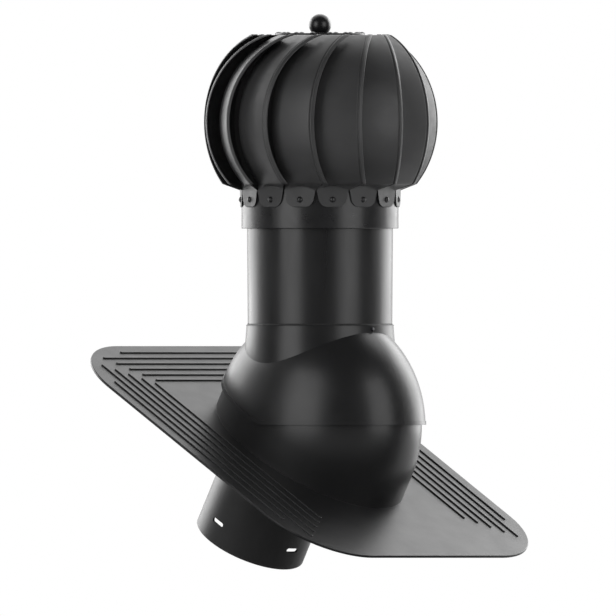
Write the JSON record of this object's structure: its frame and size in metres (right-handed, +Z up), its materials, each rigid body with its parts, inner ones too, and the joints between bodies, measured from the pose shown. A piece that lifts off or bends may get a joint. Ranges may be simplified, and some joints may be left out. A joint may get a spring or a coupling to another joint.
{
  "type": "roof turbine ventilator",
  "caption": "Wind-driven roof ventilator: curved vane rotor on a riser pipe, over a tilting hood and a ribbed flashing plate with a duct stub below.",
  "frame": {"origin": "where the duct stub's axis crosses the underside of the flashing", "axes": "+Z up along the riser, -Y down the roof, X along the hood's tilt axis; the roof slopes 30 degrees at rest"},
  "size_m": [0.375, 0.4015, 0.6112],
  "materials": {
    "black_plastic": "satin moulded plastic, fine grain",
    "riser_plastic": "satin extruded plastic",
    "black_paint": "semi-gloss black powder coat",
    "vane_paint": "semi-gloss black powder coat on thin sheet",
    "black_rivet": "semi-gloss black, slightly brighter heads",
    "bearing_steel": "ground bearing steel",
    "zinc_steel": "bright zinc plated steel",
    "hub_aluminium": "turned aluminium",
    "cage_plastic": "natural polyamide",
    "black_rubber": "matt black rubber",
    "dark_screw": "blackened steel"
  },
  "bodies": {
    "roof_base": {"base_flashing": "black_plastic", "duct_stub": "black_plastic", "stub_gasket": "black_rubber", "stub_screws": "zinc_steel"},
    "hood_mast": {"hood": "black_plastic", "riser_pipe": "riser_plastic", "riser_lock_screws": "dark_screw", "spider_bracket": "black_paint", "spider_rivets": "black_rivet", "axle": "zinc_steel", "axle_foot_washer": "zinc_steel", "axle_foot_nut": "zinc_steel", "axle_top_washer": "zinc_steel", "axle_top_nut": "zinc_steel", "lower_bearing_inner_ring": "bearing_steel", "upper_bearing_inner_ring": "bearing_steel", "inner_spacer": "zinc_steel"},
    "lower_ball_set": {"lower_bearing_balls": "bearing_steel", "lower_bearing_cage": "cage_plastic"},
    "upper_ball_set": {"upper_bearing_balls": "bearing_steel", "upper_bearing_cage": "cage_plastic"},
    "rotor": {"top_disc": "black_paint", "top_rivets": "black_rivet", "ball_finial": "black_paint", "hub_housing": "hub_aluminium", "hub_screws": "dark_screw", "lower_bearing_outer_ring": "bearing_steel", "upper_bearing_outer_ring": "bearing_steel", "outer_spacer": "hub_aluminium", "retaining_ring": "bearing_steel", "dust_seal": "black_rubber", "neck_ring": "black_paint", "neck_rivets": "black_rivet", "vane_01": "vane_paint", "vane_02": "vane_paint", "vane_03": "vane_paint", "vane_04": "vane_paint", "vane_05": "vane_paint", "vane_06": "vane_paint", "vane_07": "vane_paint", "vane_08": "vane_paint", "vane_09": "vane_paint", "vane_10": "vane_paint", "vane_11": "vane_paint", "vane_12": "vane_paint", "vane_13": "vane_paint", "vane_14": "vane_paint", "vane_15": "vane_paint"}
  },
  "joints": [
    {"name": "hood_tilt", "type": "hinge", "parent": "roof_base", "child": "hood_mast", "pos_m": [0, -0.04392, 0.01448], "axis": [1, 0, 0], "range_deg": [-5, 15]},
    {"name": "rotor_spin", "type": "hinge", "parent": "hood_mast", "child": "rotor", "pos_m": [0, -0.04392, 0.01448], "axis": [0, 0, 1], "continuous": true},
    {"name": "lower_balls_spin", "type": "hinge", "parent": "hood_mast", "child": "lower_ball_set", "pos_m": [0, -0.04392, 0.01448], "axis": [0, 0, 1], "continuous": true},
    {"name": "upper_balls_spin", "type": "hinge", "parent": "hood_mast", "child": "upper_ball_set", "pos_m": [0, -0.04392, 0.01448], "axis": [0, 0, 1], "continuous": true}
  ],
  "couplings": [
    {"joint": "lower_balls_spin", "follows": "rotor_spin", "ratio": 0.63222},
    {"joint": "upper_balls_spin", "follows": "rotor_spin", "ratio": 0.63222}
  ]
}
